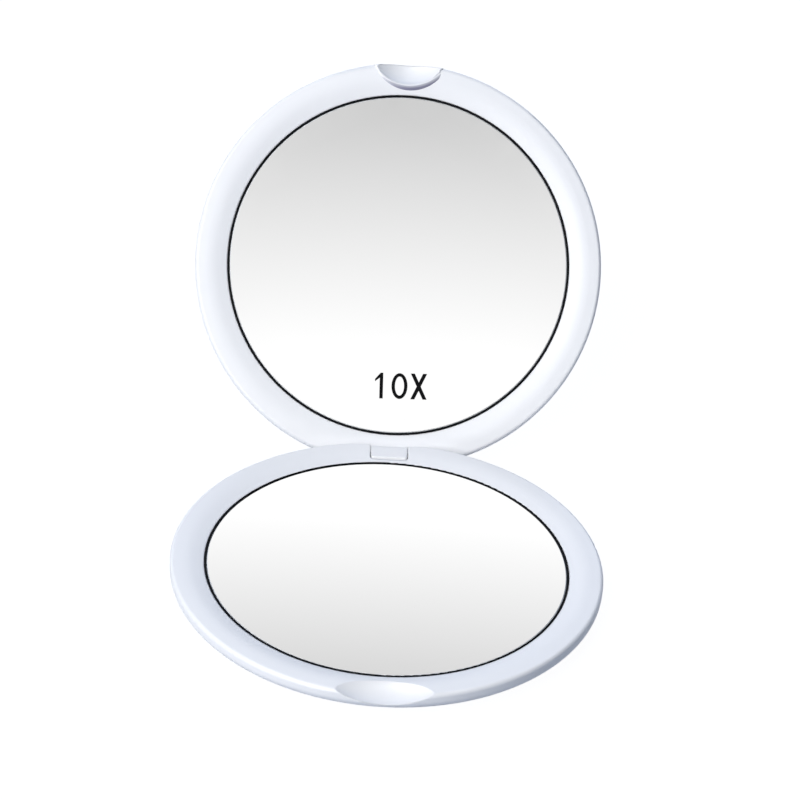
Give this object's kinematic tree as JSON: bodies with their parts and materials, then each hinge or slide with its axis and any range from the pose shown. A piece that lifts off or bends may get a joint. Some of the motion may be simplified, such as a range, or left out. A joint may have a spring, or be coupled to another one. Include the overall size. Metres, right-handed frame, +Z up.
{
  "type": "compact mirror",
  "caption": "Round folding compact mirror on a rear hinge, with a flat mirror in the base, a concave magnifying mirror in the lid, a finger scoop in the base and a dished finger tab on the lid.",
  "frame": {"origin": "centre of the flat face on the back of the base, which the open compact stands on", "axes": "+X along the hinge, to the right as the user sees it; +Y from the finger scoop to the hinge; +Z up from the base's back towards its mirror"},
  "size_m": [0.1016, 0.1631, 0.0826],
  "materials": {
    "white_plastic": "gloss",
    "mirror_glass": "polished",
    "black_seal": "satin",
    "foam": "matte",
    "nickel": "plated",
    "steel": "drawn"
  },
  "bodies": {
    "base": {"base_cover": "white_plastic", "base_bezel": "white_plastic", "base_mirror_pad": "foam", "base_mirror_seal": "black_seal", "base_mirror": "mirror_glass", "base_magnet_left": "nickel", "base_magnet_right": "nickel", "hinge_pin": "steel"},
    "lid": {"lid_cover": "white_plastic", "lid_bezel": "white_plastic", "lid_mirror_pad": "foam", "lid_mirror_seal": "black_seal", "lid_mirror": "mirror_glass", "lid_magnet_left": "nickel", "lid_magnet_right": "nickel"}
  },
  "joints": [
    {"name": "lid_hinge", "type": "hinge", "parent": "base", "child": "lid", "pos_m": [0, 0.0482, 0.00565], "axis": [1, 0, 0], "range_deg": [0, 127]}
  ]
}
